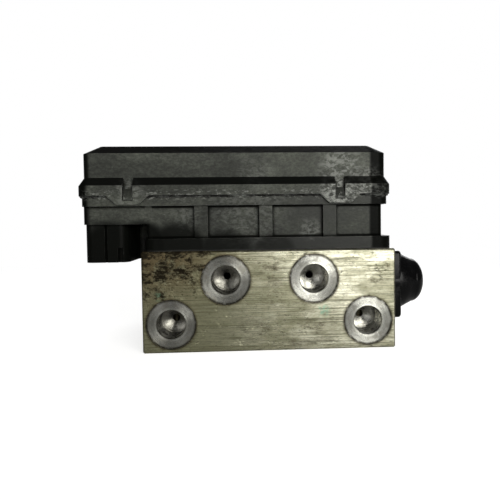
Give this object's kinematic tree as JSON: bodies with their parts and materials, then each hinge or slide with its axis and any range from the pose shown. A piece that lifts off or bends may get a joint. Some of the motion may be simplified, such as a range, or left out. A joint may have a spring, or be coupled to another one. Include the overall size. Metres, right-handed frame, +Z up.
{
  "type": "abs brake module",
  "caption": "Anti-lock brake module: aluminium valve block with tube ports, black electronic control unit with side connector, and a rubber isolator.",
  "frame": {"origin": "centre of the motor pilot in the block's lower face", "axes": "+X along the row of ports towards the rubber isolator, +Y into the block from the port face, +Z up to the control unit's lid"},
  "size_m": [0.1333, 0.076, 0.0759],
  "materials": {
    "block_aluminium": "milled, with stains",
    "machined_steel": "turned",
    "armature_steel": "ground",
    "spring_steel": "drawn wire",
    "coil_steel": "zinc plated",
    "cap_steel": "zinc plated",
    "piston_plastic": "moulded",
    "seal_rubber": "moulded",
    "housing_plastic": "moulded, dusty",
    "lid_plastic": "moulded, dusty",
    "board": "lacquered",
    "relay_plastic": "moulded",
    "can_aluminium": "drawn",
    "contact_brass": "plated",
    "isolator_rubber": "glossy"
  },
  "bodies": {
    "module": {"valve_block": "block_aluminium", "passage_plugs": "machined_steel", "inlet_valve_1": "machined_steel", "inlet_valve_2": "machined_steel", "inlet_valve_3": "machined_steel", "inlet_valve_4": "machined_steel", "outlet_valve_1": "machined_steel", "outlet_valve_2": "machined_steel", "outlet_valve_3": "machined_steel", "outlet_valve_4": "machined_steel", "pump_sleeve_left": "machined_steel", "pump_sleeve_right": "machined_steel", "pump_plug_left": "machined_steel", "pump_plug_right": "machined_steel", "isolator_stud": "machined_steel", "accumulator_spring_left": "spring_steel", "accumulator_spring_right": "spring_steel", "pump_spring_left": "spring_steel", "pump_spring_right": "spring_steel", "inlet_coil_1": "coil_steel", "inlet_coil_2": "coil_steel", "inlet_coil_3": "coil_steel", "inlet_coil_4": "coil_steel", "outlet_coil_1": "coil_steel", "outlet_coil_2": "coil_steel", "outlet_coil_3": "coil_steel", "outlet_coil_4": "coil_steel", "yoke_plate": "coil_steel", "accumulator_cap_left": "cap_steel", "accumulator_cap_right": "cap_steel", "ecu_screws": "cap_steel", "lid_seal": "seal_rubber", "housing_gasket": "seal_rubber", "ecu_housing": "housing_plastic", "ecu_lid": "lid_plastic", "circuit_board": "board", "motor_relay": "relay_plastic", "valve_relay": "relay_plastic", "controller_chip": "relay_plastic", "capacitor": "can_aluminium", "connector_pins": "contact_brass", "motor_terminals": "contact_brass", "isolator_rubber": "isolator_rubber"},
    "inlet_armature_1": {"inlet_armature_1": "armature_steel"},
    "inlet_armature_2": {"inlet_armature_2": "armature_steel"},
    "inlet_armature_3": {"inlet_armature_3": "armature_steel"},
    "inlet_armature_4": {"inlet_armature_4": "armature_steel"},
    "outlet_armature_1": {"outlet_armature_1": "armature_steel"},
    "outlet_armature_2": {"outlet_armature_2": "armature_steel"},
    "outlet_armature_3": {"outlet_armature_3": "armature_steel"},
    "outlet_armature_4": {"outlet_armature_4": "armature_steel"},
    "pump_piston_left": {"pump_piston_left": "armature_steel"},
    "accumulator_piston_left": {"accumulator_piston_left": "piston_plastic", "accumulator_seal_left": "seal_rubber"},
    "pump_piston_right": {"pump_piston_right": "armature_steel"},
    "accumulator_piston_right": {"accumulator_piston_right": "piston_plastic", "accumulator_seal_right": "seal_rubber"}
  },
  "joints": [
    {"name": "inlet_armature_1_lift", "type": "slide", "parent": "module", "child": "inlet_armature_1", "axis": [0, 0, 1], "range_m": [-0.0004, 0], "stiffness_N_per_m": 500, "springref_m": 0.002},
    {"name": "inlet_armature_2_lift", "type": "slide", "parent": "module", "child": "inlet_armature_2", "axis": [0, 0, 1], "range_m": [-0.0004, 0], "stiffness_N_per_m": 500, "springref_m": 0.002},
    {"name": "inlet_armature_3_lift", "type": "slide", "parent": "module", "child": "inlet_armature_3", "axis": [0, 0, 1], "range_m": [-0.0004, 0], "stiffness_N_per_m": 500, "springref_m": 0.002},
    {"name": "inlet_armature_4_lift", "type": "slide", "parent": "module", "child": "inlet_armature_4", "axis": [0, 0, 1], "range_m": [-0.0004, 0], "stiffness_N_per_m": 500, "springref_m": 0.002},
    {"name": "outlet_armature_1_lift", "type": "slide", "parent": "module", "child": "outlet_armature_1", "axis": [0, 0, 1], "range_m": [0, 0.0004], "stiffness_N_per_m": 500, "springref_m": -0.002},
    {"name": "outlet_armature_2_lift", "type": "slide", "parent": "module", "child": "outlet_armature_2", "axis": [0, 0, 1], "range_m": [0, 0.0004], "stiffness_N_per_m": 500, "springref_m": -0.002},
    {"name": "outlet_armature_3_lift", "type": "slide", "parent": "module", "child": "outlet_armature_3", "axis": [0, 0, 1], "range_m": [0, 0.0004], "stiffness_N_per_m": 500, "springref_m": -0.002},
    {"name": "outlet_armature_4_lift", "type": "slide", "parent": "module", "child": "outlet_armature_4", "axis": [0, 0, 1], "range_m": [0, 0.0004], "stiffness_N_per_m": 500, "springref_m": -0.002},
    {"name": "pump_piston_left_stroke", "type": "slide", "parent": "module", "child": "pump_piston_left", "axis": [-1, 0, 0], "range_m": [0, 0.002], "stiffness_N_per_m": 1500, "springref_m": -0.004, "deforming": ["pump_spring_left"]},
    {"name": "pump_piston_right_stroke", "type": "slide", "parent": "module", "child": "pump_piston_right", "axis": [1, 0, 0], "range_m": [0, 0.002], "stiffness_N_per_m": 1500, "springref_m": -0.004, "deforming": ["pump_spring_right"]},
    {"name": "accumulator_piston_left_stroke", "type": "slide", "parent": "module", "child": "accumulator_piston_left", "axis": [0, 1, 0], "range_m": [0, 0.006], "stiffness_N_per_m": 2000, "springref_m": -0.004, "deforming": ["accumulator_spring_left"]},
    {"name": "accumulator_piston_right_stroke", "type": "slide", "parent": "module", "child": "accumulator_piston_right", "axis": [0, 1, 0], "range_m": [0, 0.006], "stiffness_N_per_m": 2000, "springref_m": -0.004, "deforming": ["accumulator_spring_right"]}
  ]
}
